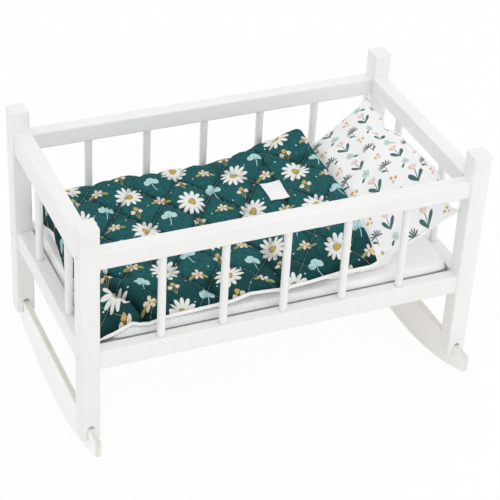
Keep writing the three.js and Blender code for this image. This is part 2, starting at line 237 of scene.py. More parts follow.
soft_folds = ((-78, -4.5, 13), (-31, 6, 17), (7, -5.5, 9), (42, 2.5, 16), (80, -4, 9))

# Tag: its corners in plan, from the back one at the foot end round by the head end, and its size sewn flat

tag_grid = (36, 42)
tag_corners = np.array([(43.4, 48.6), (66.3, 37.9), (66.5, 2.5), (42.8, 7.9)]) * MM
tag_long, tag_wide = 26 * MM, 38 * MM
tag_thickness = 0.7 * MM
tag_hem_width = 3.4 * MM
tag_hem_height = 0.3 * MM
tag_smoothing = 120


# Meshes from whole arrays


def smooth_step(value):
    """Three t squared minus two t cubed, with t the value held between 0 and 1."""
    t = np.clip(value, 0, 1)
    return t * t * (3 - 2 * t)


def unit(vectors):
    """Vectors of length one that point the same way."""
    return vectors / np.linalg.norm(vectors, axis=-1, keepdims=True)


def bell(distance, width):
    """A bell curve: e to the power of minus the square of the distance over the width."""
    return np.exp(-((distance / width) ** 2))


def grid(along, across):
    """Two rows of places, each spread over the whole grid that they span."""
    return np.meshgrid(along, across, indexing="ij")


def fullness(place, sharpness):
    """The square root of one minus the place's size to the power of the sharpness: 1 inside, 0 at the seam."""
    return np.sqrt(np.clip(1 - np.abs(place) ** sharpness, 0, 1))


def rounded(distance, radius):
    """The rise of a quarter circle of that radius: 0 at the edge, 1 beyond it."""
    return np.sqrt(1 - (1 - np.clip(distance / radius, 0, 1)) ** 2)


def soft_noise(x, y, cell, seed):
    """Random heights from -1 to 1 on a square lattice of that cell, joined by smooth steps both ways."""
    rng = np.random.default_rng(seed)
    table = rng.uniform(-1, 1, (64, 64))
    u, v = x / cell, y / cell
    i, j = np.floor(u).astype(int), np.floor(v).astype(int)
    s, t = smooth_step(u - i), smooth_step(v - j)
    near = table[i % 64, j % 64] * (1 - s) + table[(i + 1) % 64, j % 64] * s
    far = table[i % 64, (j + 1) % 64] * (1 - s) + table[(i + 1) % 64, (j + 1) % 64] * s
    return near * (1 - t) + far * t


def waves(x, y, layers):
    """The sum of soft noises, each with its cell and its height in millimetres, and its seed."""
    return sum(soft_noise(x, y, cell * MM, seed) * height * MM for cell, height, seed in layers)


def mean_of_four(height):
    """For each inner point of a grid, the mean of its four neighbours."""
    return (height[:-2, 1:-1] + height[2:, 1:-1] + height[1:-1, :-2] + height[1:-1, 2:]) / 4


def crowded(count, crowding):
    """Places from -1 to 1: an even row mixed with the sine of it, which crowds them towards the ends."""
    even = np.linspace(-1, 1, count)
    return even * (1 - crowding) + np.sin(even * np.pi / 2) * crowding


def with_settings(thing, **settings):
    """The same thing, after each of the settings is made on it."""
    for key, value in settings.items():
        setattr(thing, key, value)
    return thing


def add_object(name, data):
    """A new object that holds the data, in the scene."""
    piece = bpy.data.objects.new(name, data)
    bpy.context.scene.collection.objects.link(piece)
    return piece


def make_object(name, points, quads, uv=None, second=None):
    """A mesh of quads. uv is one pair for each point, and second marks the faces that take the second material."""
    mesh = bpy.data.meshes.new(name)
    mesh.from_pydata(points.reshape(-1, 3).tolist(), [], quads.tolist())
    mesh.polygons.foreach_set("use_smooth", np.ones(len(quads), bool))
    if uv is not None:
        layer = mesh.uv_layers.new(name="cloth")
        layer.data.foreach_set("uv", uv[quads.ravel()].ravel())
    if second is not None:
        mesh.polygons.foreach_set("material_index", second.astype(np.int32))
    mesh.update()
    return add_object(name, mesh)


def grid_quads(rows, columns, closed_along=False, closed_across=False):
    """Four corners for each cell of a grid of points that is stored row by row, and may close on itself."""
    i = np.arange(rows if closed_along else rows - 1)[:, None]
    j = np.arange(columns if closed_across else columns - 1)[None, :]
    this, ahead, beside = i * columns, (i + 1) % rows * columns, (j + 1) % columns
    return np.stack([this + j, ahead + j, ahead + beside, this + beside], -1).reshape(-1, 4)


def pad_object(name, upper, lower, uv, second=True):
    """A closed pad from an upper and a lower grid of points that meet along the seam all round."""
    rows, columns = upper.shape[:2]
    number = np.arange(rows * columns).reshape(rows, columns)
    under = number.copy()
    inner = (rows - 2) * (columns - 2)
    under[1:-1, 1:-1] = rows * columns + np.arange(inner).reshape(rows - 2, columns - 2)
    top = grid_quads(rows, columns)
    bottom = under.ravel()[top][:, ::-1]
    points = np.concatenate([upper.reshape(-1, 3), lower[1:-1, 1:-1].reshape(-1, 3)])
    flat = np.concatenate([uv.reshape(-1, 2), uv[1:-1, 1:-1].reshape(-1, 2)])
    marks = np.concatenate([np.zeros(len(top)), np.ones(len(bottom))]) if second else None
    return make_object(name, points, np.concatenate([top, bottom]), flat, marks)


def tube_object(name, path, radius, sides=10):
    """A closed tube round a closed path: at each point a circle across the path, upright and sideways."""
    ahead = unit(np.roll(path, -1, 0) - np.roll(path, 1, 0))
    side = unit(np.cross(ahead, (0, 0, 1)))
    up = np.cross(side, ahead)
    turn = np.linspace(0, 2 * np.pi, sides, endpoint=False)
    ring = side[:, None] * np.cos(turn)[None, :, None] + up[:, None] * np.sin(turn)[None, :, None]
    return make_object(name, path[:, None] + ring * radius, grid_quads(len(path), sides, True, True))


# Node wiring


class Value:
    """A node's output in one tree. Adding, multiplying and so on each add one Math node."""

    def __init__(self, wires, socket):
        self.wires = wires
        self.socket = socket

    def __add__(self, other):
        return self.wires.math("ADD", self, other)

    def __sub__(self, other):
        return self.wires.math("SUBTRACT", self, other)

    def __rsub__(self, other):
        return self.wires.math("SUBTRACT", other, self)

    def __mul__(self, other):
        return self.wires.math("MULTIPLY", self, other)

    def __truediv__(self, other):
        return self.wires.math("DIVIDE", self, other)

    def __rtruediv__(self, other):
        return self.wires.math("DIVIDE", other, self)

    def __abs__(self):
        return self.wires.math("ABSOLUTE", self)


class Wires:
    """Short calls for adding nodes to one emptied node tree."""

    def __init__(self, tree):
        self.tree = tree
        tree.nodes.clear()

    def put(self, socket, value):
        if isinstance(value, Value):
            self.tree.links.new(value.socket, socket)
        elif value is not None:
            socket.default_value = value

    def node(self, kind, inputs=None, **settings):
        """Adds a node, with its inputs filled by name or by number. Returns its outputs."""
        node = with_settings(self.tree.nodes.new(kind), **settings)
        for label, value in (inputs or {}).items():
            self.put(node.inputs[label], value)
        return [Value(self, socket) for socket in node.outputs]

    def math(self, operation, a, b=None, clamp=False):
        return self.node("ShaderNodeMath", {0: a, 1: b}, operation=operation, use_clamp=clamp)[0]

    def largest(self, values):
        result = values[0]
        for value in values[1:]:
            result = self.math("MAXIMUM", result, value)
        return result

    def mix(self, factor, a, b):
        a, b = (colour if isinstance(colour, Value) else (*colour, 1) for colour in (a, b))
        return self.node("ShaderNodeMix", {0: factor, 6: a, 7: b}, data_type="RGBA")[2]

    def ramp(self, value, low, high, out_low=0.0, out_high=1.0):
        """A smooth step of the value from low to high, which gives out_low to out_high."""
        inputs = {0: value, 1: low, 2: high, 3: out_low, 4: out_high}
        return self.node("ShaderNodeMapRange", inputs, interpolation_type="SMOOTHSTEP")[0]

    def noise(self, vector, scale, detail=2.0, roughness=0.5):
        inputs = {"Vector": vector, "Scale": scale, "Detail": detail, "Roughness": roughness}
        return self.node("ShaderNodeTexNoise", inputs)[0]

    def mapping(self, vector, scale):
        return self.node("ShaderNodeMapping", {"Vector": vector, "Scale": scale})[0]

    def split(self, vector):
        return self.node("ShaderNodeSeparateXYZ", {0: vector})

    def group(self, tree, **inputs):
        """Adds a node group. Returns its outputs by name."""
        return {value.socket.name: value for value in self.node("ShaderNodeGroup", inputs, node_tree=tree)}


class Finish(Wires):
    """The wires of a new material."""

    def __init__(self, name):
        self.material = bpy.data.materials.new(name)
        self.material.use_nodes = True
        super().__init__(self.material.node_tree)

    def object_place(self):
        return self.node("ShaderNodeTexCoord")[3]

    def cloth_place(self):
        """The piece's own UV map, in millimetres of cloth."""
        return self.mapping(self.node("ShaderNodeUVMap", uv_map="cloth")[0], (1 / MM, 1 / MM, 1 / MM))

    def surface(self, colour, roughness, specular, height, depth, strength, sheen=None, metallic=None):
        """Joins up a Principled BSDF. The height goes through a Bump node, as deep as the depth in millimetres."""
        bump = self.node("ShaderNodeBump", {"Height": height, "Distance": depth * MM, "Strength": strength})[0]
        inputs = {"Base Color": colour, "Roughness": roughness, "Metallic": metallic, "Normal": bump}
        inputs |= {"Specular IOR Level": specular, "Sheen Weight": sheen}
        shader = self.node("ShaderNodeBsdfPrincipled", inputs)[0]
        self.node("ShaderNodeOutputMaterial", {0: shader})
        return self.material


socket_kinds = {"vector": "Vector", "stretched": "Vector", "plain": "Vector", "colour": "Color", "shade": "Color"}


def new_group(name, inputs, outputs):
    """An empty node group. Returns its wires, its inputs by name, and the sockets of its output node."""
    tree = bpy.data.node_groups.new(name, "ShaderNodeTree")
    for labels, way in ((inputs.split(), "INPUT"), (outputs.split(), "OUTPUT")):
        for label in labels:
            kind = "NodeSocket" + socket_kinds.get(label, "Float")
            tree.interface.new_socket(label, in_out=way, socket_type=kind)
    w = Wires(tree)
    entry = w.node("NodeGroupInput")
    leave = tree.nodes.new("NodeGroupOutput").inputs
    return w, dict(zip(inputs.split(), entry)), leave


# Effects that several materials share


def make_paint_group():
    """Brushed paint over grain: long streaks from a stretched noise, fine brush lines, and a slow mottle."""
    w, get, leave = new_group("brushed_paint", "stretched plain colour shade mottle", "colour roughness height")
    grain = w.noise(get["stretched"], 1.0, 4.0, 0.55)
    brush = w.noise(get["stretched"], 5.0, 2.0, 0.5)
    mottle = w.noise(get["plain"], 16.0, 3.0, 0.6)
    slow = w.ramp(mottle, 0.35, 0.75) * get["mottle"]
    amount = w.math("ADD", w.ramp(grain, 0.42, 0.78) * 0.35, slow, clamp=True)
    w.put(leave["colour"], w.mix(amount, get["colour"], get["shade"]))
    w.put(leave["roughness"], mottle * 0.16 + 0.36)
    w.put(leave["height"], brush * 0.35 + grain * 0.65)
    return w.tree


def make_weave_group():
    """Plain weave: the product of two sine rows of threads, one along U and one along V, with uneven yarn."""
    w, get, leave = new_group("plain_weave", "vector thread", "height fleck")
    along, across = w.split(get["vector"])[:2]
    turn = math.tau / get["thread"]
    weave = w.math("SINE", along * turn) * w.math("SINE", across * turn)
    yarn = w.noise(get["vector"], 0.63 / get["thread"], 2.0, 0.6)
    w.put(leave["height"], weave * 0.4 + yarn)
    w.put(leave["fleck"], w.ramp(yarn, 0.3, 0.7))
    return w.tree


def make_repeat_group():
    """Where a place lies from the nearest repeat of a motif. Repeats stand in columns one period apart, each
    column moved up by the step, and the motif is turned over in every second place."""
    w, get, leave = new_group("motif_repeat", "vector centre_x centre_y across up step", "x y")
    place_x, place_y = w.split(get["vector"])[:2]
    x, y = place_x - get["centre_x"], place_y - get["centre_y"]
    column = w.math("ROUND", x / get["across"])
    lowered = y - column * get["step"]
    row = w.math("ROUND", lowered / get["up"])
    odd = w.math("FLOORED_MODULO", column + row, 2.0)
    w.put(leave["x"], (x - column * get["across"]) * (odd * -2.0 + 1.0))
    w.put(leave["y"], lowered - row * get["up"])
    return w.tree


def own_axes(w, get):
    """A place along and aside of a shape's own axis: moved to its start and turned by its angle."""
    x, y = get["x"] - get["start_x"], get["y"] - get["start_y"]
    cosine, sine = w.math("COSINE", get["turn"]), w.math("SINE", get["turn"])
    return x * cosine + y * sine, y * cosine - x * sine


def make_petal_group():
    """A petal from its start: an oval that is narrow at its base and full towards its tip."""
    w, get, leave = new_group("petal", "x y start_x start_y turn long wide", "mask")
    along, aside = own_axes(w, get)
    share = along / get["long"]
    inside = share * (1.0 - share)
    half = w.math("SQRT", w.math("MAXIMUM", inside, 0.0)) * get["wide"] * (share * 0.7 + 0.55)
    w.put(leave["mask"], w.ramp(half - abs(aside), -0.1, 0.25) * w.math("GREATER_THAN", inside, 0.0))
    return w.tree


def make_stem_group():
    """A stem: a thin line along a parabola, from its start to its length."""
    w, get, leave = new_group("stem", "x y start_x start_y turn long bend wide", "mask")
    along, aside = own_axes(w, get)
    share = along / get["long"]
    edge = get["wide"] * 0.5 - abs(aside - share * share * get["bend"])
    within = w.math("GREATER_THAN", share, 0.0) * w.math("LESS_THAN", share, 1.0)
    w.put(leave["mask"], w.ramp(edge, -0.15, 0.15) * within)
    return w.tree


class Print:
    """Builds printed motifs in one material, from petals and stems, in millimetres on the cloth."""

    def __init__(self, wires, vector, ground):
        self.w = wires
        self.vector = vector
        self.colour = ground

    def repeat(self, x, y, across, up, step):
        """Starts a motif: the shapes that follow stand about its centre, once in each repeat."""
        place = {"vector": self.vector, "centre_x": x, "centre_y": y}
        self.place = self.w.group(repeat_group, **place, across=across, up=up, step=step)

    def shape(self, group, x, y, degrees, **sizes):
        start = {"start_x": x, "start_y": y, "turn": math.radians(degrees)}
        return self.w.group(group, **self.place, **start, **sizes)["mask"]

    def petal(self, x, y, degrees, long, wide):
        return self.shape(petal_group, x, y, degrees, long=long, wide=wide)

    def stem(self, x, y, degrees, long, bend, wide):
        return self.shape(stem_group, x, y, degrees, long=long, bend=bend, wide=wide)

    def dot(self, x, y, across):
        """A round spot: a petal about as wide as it is long, set about its middle."""
        return self.petal(x - across / 2, y, 0, across, across * 1.1)

    def lay(self, masks, colour):
        self.colour = self.w.mix(self.w.largest(masks), self.colour, colour)


paint_group = make_paint_group()
weave_group = make_weave_group()
repeat_group = make_repeat_group()
petal_group = make_petal_group()
stem_group = make_stem_group()


# Materials


def paint_over(w, place, stretch, colour, shade):
    """The shared paint, with its grain along the axis that the stretch leaves long."""
    tones = {"colour": (*colour, 1), "shade": (*shade, 1), "mottle": 0.3}
    return w.group(paint_group, stretched=w.mapping(place, stretch), plain=place, **tones)


def make_paint(name, stretch):
    """Satin white paint on solid wood."""
    w = Finish(name)
    out = paint_over(w, w.object_place(), stretch, (0.9, 0.9, 0.888), (0.84, 0.84, 0.822))
    return w.surface(out["colour"], out["roughness"], 0.45, out["height"], 0.12, 0.55)


def make_rocker_paint(name, middle):
    """Paint over plywood: inside the board's two faces the plies show as thin bands across its thickness. The paint
    is a whiter copy of the frame's, painted light for the light that the floor throws up on the rockers.
    """
    w = Finish(name)
    place = w.object_place()
    # Painted light: a whiter white than the frame's paint, for the floor's bounce light
    out = paint_over(w, place, (160, 9, 40), (0.985, 0.985, 0.975), (0.95, 0.95, 0.935))
    depth = abs(w.split(place)[0] - middle)
    edge = w.ramp(depth, 3.9 * MM, 3.3 * MM)
    plies = w.math("SINE", depth * (math.tau / ply_pitch))
    worn = w.noise(w.mapping(place, (300, 60, 60)), 1.0, 3.0, 0.6)
    band = w.ramp(plies, 0.3, 0.9) * w.ramp(worn, 0.35, 0.65, 0.2, 1.0)
    colour = w.mix(edge, out["colour"], w.mix(band, (0.86, 0.855, 0.8), (0.7, 0.69, 0.6)))
    height = band * edge * -0.8 + out["height"]
    return w.surface(colour, edge * 0.15 + out["roughness"], 0.42, height, 0.14, 0.7)


def make_bare_wood(name, stretch):
    """Planed pale wood: ring bands from a stretched noise, and fine dark pores."""
    w = Finish(name)
    long = w.mapping(w.object_place(), stretch)
    rings = w.noise(long, 1.0, 4.0, 0.6)
    pores = w.noise(long, 9.0, 2.0, 0.5)
    tone = w.mix(w.ramp(rings, 0.3, 0.7), (0.86, 0.79, 0.66), (0.79, 0.7, 0.55))
    colour = w.mix(w.ramp(pores, 0.62, 0.75, 0.0, 0.5), tone, (0.62, 0.5, 0.34))
    return w.surface(colour, pores * 0.2 + 0.55, None, pores, 0.12, 0.6)


def make_screw_finish():
    """Zinc plated steel, with paint that was brushed over the head, as the outer 3 mm of each screw shows."""
    w = Finish("painted_over_screw")
    place = w.object_place()
    painted = w.math("GREATER_THAN", abs(w.split(place)[0]), screw_paint_start)
    scuff = w.noise(place, 700.0, 3.0, 0.6)
    steel = w.mix(w.ramp(scuff, 0.35, 0.7), (0.5, 0.5, 0.49), (0.36, 0.36, 0.35))
    paint = w.mix(w.ramp(scuff, 0.55, 0.8), (0.8, 0.8, 0.785), (0.66, 0.66, 0.64))
    colour = w.mix(painted, steel, paint)
    return w.surface(colour, scuff * 0.2 + 0.32, None, scuff, 0.1, 0.6, metallic=1.0 - painted)


cotton_white = (0.96, 0.96, 0.96)
cotton_shade = (0.93, 0.93, 0.935)
back_shade = (0.92, 0.92, 0.925)


def slow_tone(w, place, scale, colour, shade):
    """A colour that drifts slowly to its shade and back."""
    return w.mix(w.ramp(w.noise(place, scale, 3.0, 0.6), 0.3, 0.75), colour, shade)


def make_white_cotton():
    """White cotton: plain weave, soft sheen and a slow change of tone."""
    w = Finish("white_cotton")
    place = w.object_place()
    out = w.group(weave_group, vector=place, thread=0.7 * MM)
    tone = slow_tone(w, place, 28.0, cotton_white, back_shade)
    colour = w.mix(out["fleck"] * 0.25, tone, back_shade)
    return w.surface(colour, 0.9, 0.2, out["height"], 0.12, 0.7, sheen=0.15)


def make_waffle_cotton():
    """Waffle cotton: raised square ribs round small sunk cells, less deep where the cover is stretched flat, over a
    slow change of tone, with painted shade in the sunk cells. The mattress's underside and the lowest part of its
    long sides are painted dark grey, a painted shadow of the gap along the rail."""
    w = Finish("waffle_cotton")
    place = w.object_place()
    x, y, z = w.split(place)
    wave = math.pi / waffle_cell
    flat = w.largest([w.ramp(x, 0.03, 0.13), w.ramp(x, -0.22, -0.228)])
    sunk = 1.0 - flat * 0.8
    ribs = abs(w.math("SINE", x * wave)) * abs(w.math("SINE", (y + z) * wave)) * sunk
    yarn = w.noise(place, 900.0, 2.0, 0.6)
    tone = slow_tone(w, place, 20.0, cotton_white, cotton_shade)
    # Painted shade: the sunk cells are painted darker grey
    cover = w.mix(w.ramp(ribs, 0.5, 0.95, 0.0, 0.8), tone, (0.6, 0.6, 0.62))
    # Painted shadow: the underside and the lowest band of the long sides are painted dark grey, for the shadow in the
    # gap along the rail; not at the foot end
    gap_shadow = w.ramp(z, gap_shadow_top + 0.5 * MM, gap_shadow_top) * w.ramp(x, -0.232, -0.226)
    colour = w.mix(gap_shadow, cover, (0.4, 0.4, 0.41))
    return w.surface(colour, 0.92, 0.2, yarn * 0.2 + (1.0 - ribs), 0.5, 0.8, sheen=0.15)


# Colours of the quilt's print, its repeats (across, up, and the step from column to column), tones, painted shade and
# stitches

teal_ground = (0.022, 0.13, 0.137)
teal_shade = (0.0105, 0.076, 0.081)
# Painted shade: the deeper teal that the ground darkens to towards the front hem
teal_painted_front_shade = (0.006, 0.045, 0.047)
teal_fleck = (0.035, 0.145, 0.15)
# Painted shade: the near black that the quilt darkens to in its hollows and along its crease
painted_hollow_shade = (0.0, 0.008, 0.01)
warm_white = (0.86, 0.86, 0.83)
pale_aqua = (0.48, 0.72, 0.71)
vein_aqua = (0.2, 0.42, 0.42)
cream = (0.8, 0.69, 0.57)
ochre = (0.62, 0.4, 0.11)
gold = (0.38, 0.36, 0.12)
stitch_grey = (0.36, 0.43, 0.41)
quilt_repeat = (72.0, 66.0, 33.0)
pin_dot_repeat = (36.0, 33.0, 16.5)
# How far the painted shade in the hollows darkens the ground and the print
ground_shade_in_hollows = 0.6
print_shade_in_hollows = 0.3
stitch_strength = 0.6
stitches_per_side = 17


def print_daisy(p):
    """A large open daisy: twelve narrow white petals about a gold and ochre eye."""
    p.repeat(20.0, 10.0, *quilt_repeat)
    p.lay([p.petal(0, 0, 10 + turn * 30, 18, 5.4) for turn in range(12)], warm_white)
    p.lay([p.dot(0, 0, 10)], gold)
    p.lay([p.dot(0, 0, 7)], ochre)


def print_clover(p):
    """A pale aqua clover: three round leaves, each with a fine vein, on a bent stem."""
    angles = (15, 95, 175)
    p.repeat(56.0, 26.0, *quilt_repeat)
    p.lay([p.petal(0, 0, angle, 10, 10) for angle in angles] + [p.stem(0, 0, 268, 15, 4, 1.0)], pale_aqua)
    p.lay([p.stem(0, 0, angle, 7, 0, 0.5) for angle in angles], vein_aqua)


def print_berries(p):
    """Three round berries, cream and ochre, on gold stems that meet below."""
    p.repeat(20.0, 43.0, *quilt_repeat)
    p.lay([p.stem(0, -9, angle, length, 0, 0.7) for angle, length in ((70, 12), (92, 15), (114, 12))], gold)
    p.lay([p.dot(4.4, 2.4, 6), p.dot(-5.0, 2.4, 6)], cream)
    p.lay([p.dot(-0.4, 7, 6)], ochre)


def print_small_flower(p):
    """A small cream flower of five pointed petals between two gold leaves, with white pin dots around it."""
    p.repeat(38.0, 19.0, *pin_dot_repeat)
    p.lay([p.dot(0, 0, 1.8)], warm_white)
    p.repeat(56.0, -7.0, *quilt_repeat)
    p.lay([p.petal(2, 0, -24, 12, 4), p.petal(-2, 0, 204, 12, 4)], gold)
    p.lay([p.petal(0, 0, 90 + turn * 72, 7.5, 4) for turn in range(5)], cream)
    p.lay([p.dot(0, 0, 3.2)], ochre)


def stitch_mask(w, place):
    """Dashes along the two families of diamond lines: near a whole number of one, and part of a dash of the other."""
    x, y = w.split(place)[:2]
    a = (x - diamond_start[0] / MM) / (diamond_along / MM)
    b = (y - diamond_start[1] / MM) / (diamond_across / MM)
    masks = []
    for first, second in ((a + b, a - b), (a - b, a + b)):
        line = w.ramp(abs(first - w.math("ROUND", first)), 0.0095, 0.004)
        dash = w.ramp(w.math("SINE", second * (math.tau * stitches_per_side)), -0.9, -0.5)
        masks.append(line * dash)
    return w.largest(masks)


def make_quilt_print():
    """Dark teal cotton with a scattered print and pale stitching, with painted shade towards the front, in its
    hollows and along its deep crease."""
    w = Finish("quilt_print")
    place = w.cloth_place()
    top = w.mix(w.ramp(w.noise(place, 0.22, 4.0, 0.65), 0.3, 0.7), teal_ground, teal_shade)
    # Painted shade: the ground darkens towards the front hem
    ground = w.mix(w.ramp(w.split(place)[1], -58.0, -100.0, 0.0, 0.78), top, teal_painted_front_shade)
    out = w.group(weave_group, vector=place, thread=0.7)
    woven = w.mix(out["fleck"] * 0.22, ground, teal_fleck)
    # Painted shade: the ground, and less the print, darken with how deep each point lies in a hollow or the crease
    hollow_shade = w.node("ShaderNodeAttribute", attribute_name="hollow_shade")[2]
    p = Print(w, place, w.mix(hollow_shade * ground_shade_in_hollows, woven, painted_hollow_shade))
    for lay_motif in (print_small_flower, print_clover, print_berries, print_daisy):
        lay_motif(p)
    deep = w.mix(hollow_shade * print_shade_in_hollows, p.colour, painted_hollow_shade)
    colour = w.mix(stitch_mask(w, place) * stitch_strength, deep, stitch_grey)
    return w.surface(colour, out["fleck"] * 0.08 + 0.84, 0.12, out["height"], 0.1, 0.6)


# Colours of the pillow's print and its repeat

leaf_teal = (0.03, 0.13, 0.13)
ray_grey = (0.09, 0.13, 0.13)
petal_pink = (0.82, 0.56, 0.54)
front_petal_pink = (0.88, 0.7, 0.66)
berry_ochre = (0.68, 0.43, 0.1)
flower_aqua = (0.52, 0.7, 0.7)
fleck_grey = (0.85, 0.85, 0.86)
pillow_repeat = (46.0, 46.0, 23.0)


def print_tulip(p):
    """A pink tulip of three petals on a dark stem between two long leaves."""
    p.repeat(12.0, 10.0, *pillow_repeat)
    leaves = [p.petal(-2, -12, 54, 16, 5), p.petal(-2, -12, 120, 15, 5)]
    p.lay(leaves + [p.stem(-2, -13, 84, 18, 1.5, 0.9)], leaf_teal)
    p.lay([p.petal(-1, 3, angle, 9, 5) for angle in (64, 116)], petal_pink)
    p.lay([p.petal(-1, 3, 90, 9.5, 4.4)], front_petal_pink)


def print_seed_head(p):
    """A grey stem with a half round of seven fine rays, and one dark leaf."""
    p.repeat(35.0, 22.0, *pillow_repeat)
    rays = [p.petal(0, 0, angle, 9, 2.2) for angle in range(0, 181, 30)]
    p.lay(rays + [p.stem(2, -12, 98, 13, -1, 0.8)], ray_grey)
    p.lay([p.petal(1.4, -9, 40, 8, 3.4)], leaf_teal)


def print_aqua_flower(p):
    """A small aqua flower of five petals with an ochre eye and a dark leaf, and three berries apart from it."""
    p.repeat(12.0, 33.0, *pillow_repeat)
    p.lay([p.petal(2, -2, -40, 9, 3.4)], leaf_teal)
    p.lay([p.petal(0, 0, 18 + turn * 72, 5.6, 4.8) for turn in range(5)], flower_aqua)
    p.lay([p.dot(0, 0, 3)], berry_ochre)
    p.repeat(35.0, -2.0, *pillow_repeat)
    p.lay([p.dot(-3, 0, 4.2), p.dot(2, 2.8, 4.2)], berry_ochre)
    p.lay([p.dot(1.6, -2.8, 4.2)], petal_pink)


def make_pillow_print():
    """White cotton with a fine print of tulips, seed heads and small flowers."""
    w = Finish("pillow_print")
    place = w.cloth_place()
    p = Print(w, place, slow_tone(w, place, 0.03, cotton_white, cotton_shade))
    for lay_motif in (print_aqua_flower, print_seed_head, print_tulip):
        lay_motif(p)
    out = w.group(weave_group, vector=place, thread=0.6)
    colour = w.mix(out["fleck"] * 0.08, p.colour, fleck_grey)
    return w.surface(colour, 0.9, 0.2, out["height"], 0.1, 0.6, sheen=0.15)


paint_along_x = make_paint("white_paint_along_x", (7, 120, 120))
paint_along_y = make_paint("white_paint_along_y", (120, 7, 120))
paint_along_z = make_paint("white_paint_along_z", (120, 120, 7))
wood_along_x = make_bare_wood("bare_wood_along_x", (9, 150, 150))
wood_along_y = make_bare_wood("bare_wood_along_y", (150, 9, 150))
screw_finish = make_screw_finish()
waffle_cotton = make_waffle_cotton()
white_cotton = make_white_cotton()
quilt_print = make_quilt_print()
pillow_print = make_pillow_print()


def finish_piece(piece, body, slot, *materials):
    """Gives a piece its materials and its body. The slot is not used."""
    for material in materials:
        piece.data.materials.append(material)
    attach(piece, body)


# Wood


cad_finishes = {
    "screw": screw_finish,
    "dowel": wood_along_y,
    "batten": wood_along_x,
    "base": wood_along_x,
    "post": paint_along_z,
}


def dress_cad_wood():
    """Gives each wooden CAD node that stays its finish, with the grain along its length."""
    for name, node in nodes.items():
        finish = paint_along_y if name.endswith(("_foot", "_head")) else paint_along_x
        for start, other in cad_finishes.items():
            finish = other if name.startswith(start) else finish
        for slot in node.material_slots:
            slot.material = finish


def make_spindle(cad_name):
    """A turned rod: a circle carried up the axis, a little fuller in its middle and closed flat at each end."""
    low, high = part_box(cad_name)
    x, y = (low.x + high.x) / 2, (low.y + high.y) / 2
    radius = (high.y - low.y) / 2
    rise = low.z + spindle_shares * (high.z - low.z)
    across = np.full(len(rise), radius - 0.12 * MM)
    across[3:-3] += 0.1 * MM
    across[[0, -1]] = 0.2 * MM
    across[[1, -2]] -= 0.5 * MM
    turn = np.linspace(0, 2 * np.pi, spindle_sides, endpoint=False)
    across, turn = grid(across, turn)
    points = np.stack([x + across * np.cos(turn), y + across * np.sin(turn), rise[:, None] + 0 * turn], -1)
    piece = ring_stack("turned_" + cad_name, points)
    finish_piece(piece, "frame", "white_paint", paint_along_z)
    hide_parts(cad_name)


def ring_stack(name, rings):
    """A closed piece from a stack of rings of points, with one flat face on its first ring and one on its last."""
    count, sides = rings.shape[:2]
    piece = make_object(name, rings, grid_quads(count, sides, closed_across=True))
    form = bmesh.new()
    form.from_mesh(piece.data)
    form.verts.ensure_lookup_table()
    for ring in (range(sides), range((count - 1) * sides, count * sides)):
        form.faces.new([form.verts[number] for number in ring])
    bmesh.ops.recalc_face_normals(form, faces=form.faces)
    form.to_mesh(piece.data)
    form.free()
    return piece


def make_rocker(cad_name):
    """A board between a straight top edge and a circle's arc. Round the outline, the board's edge is eased by a
    quarter circle, so each ring of points is the outline drawn in by the ease and pushed out along X."""
    low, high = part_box(cad_name)
    middle = (low.x + high.x) / 2
    outline = rocker_outline(high.y, high.z)
    angles = np.radians([0, 22.5, 45, 67.5, 90])
    half = (high.x - low.x) / 2
    layers = [(-half + rocker_edge * (1 - math.sin(a)), rocker_edge * (1 - math.cos(a))) for a in angles[::-1]]
    layers += [(-place, inset) for place, inset in layers[::-1]]
    inward = drawn_in(outline)
    points = np.stack([np.insert(outline + inward * inset, 0, middle + place, axis=1) for place, inset in layers])
    piece = ring_stack("board_" + cad_name, points)
    piece.data.polygons.foreach_set("use_smooth", np.zeros(len(piece.data.polygons), bool))
    finish_piece(piece, "frame", "rocker_paint", make_rocker_paint("rocker_paint_" + cad_name, middle))
    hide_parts(cad_name)


def rocker_outline(reach, top):
    """Points round the board: along the arc at even angles, then back along the straight top edge."""
    bound = math.asin(reach / rocker_radius)
    angle = np.linspace(-bound, bound, rocker_arc_points)
    arc = np.column_stack([rocker_radius * np.sin(angle), rocker_radius * (1 - np.cos(angle))])
    along = np.linspace(reach, -reach, rocker_top_points)
    edge = np.column_stack([along, np.full(len(along), top)])
    return np.concatenate([arc, [[reach, top * 0.8]], edge, [[-reach, top * 0.8]]])


def drawn_in(outline):
    """For each outline point, the way into the board that keeps both its neighbours' edges an even step away."""
    before = unit(outline - np.roll(outline, 1, 0))
    after = unit(np.roll(outline, -1, 0) - outline)
    normal = unit(np.column_stack([-before[:, 1] - after[:, 1], before[:, 0] + after[:, 0]]))
    spread = -before[:, 1] * normal[:, 0] + before[:, 0] * normal[:, 1]
    return normal / spread[:, None]


# Mattress


def mattress_insets(x, y):
    """How far a place lies in from the nearer end and from the nearer side."""
    return mattress_high.x - np.abs(x), mattress_high.y - np.abs(y)


def mattress_corner(x, y):
    """How far the cover is drawn down near a corner: 1 at the corner, 0 beyond the reach."""
    along, across = (np.clip(inset / corner_reach, 0, None) for inset in mattress_insets(x, y))
    return smooth_step(1 - np.hypot(along, across))


def corner_gather(x, y):
    """The tuft of gathered cloth on the front corner at the head end: a bell curve with pleats across it."""
    tuft = bell(x - tuft_centre[0], 9 * MM) * bell(y - tuft_centre[1], 6 * MM)
    return tuft_height * tuft * (1 + 0.5 * np.sin((x - 0.6 * y) / tuft_pleat))


def foot_hang(y):
    """How far the quilt hangs over the mattress's foot end: 0 towards the back, 1 towards the front."""
    return smooth_step((hang_start - y) / hang_width)


def foot_edge(y):
    """The height of the quilt's underside along its foot edge, from the heights of the hem."""
    return np.interp(y, *foot_hem) - seam_below_hem


def foot_drop(x, y):
    """The fall of the quilt over the foot end: a quarter circle from its start to the hem."""
    fall = np.clip((foot_fall_start - x) / foot_fall_width, 0, 1)
    return np.clip(mattress_top + soft_gap - foot_edge(y), 0, None) * (1 - np.sqrt(1 - fall**2))


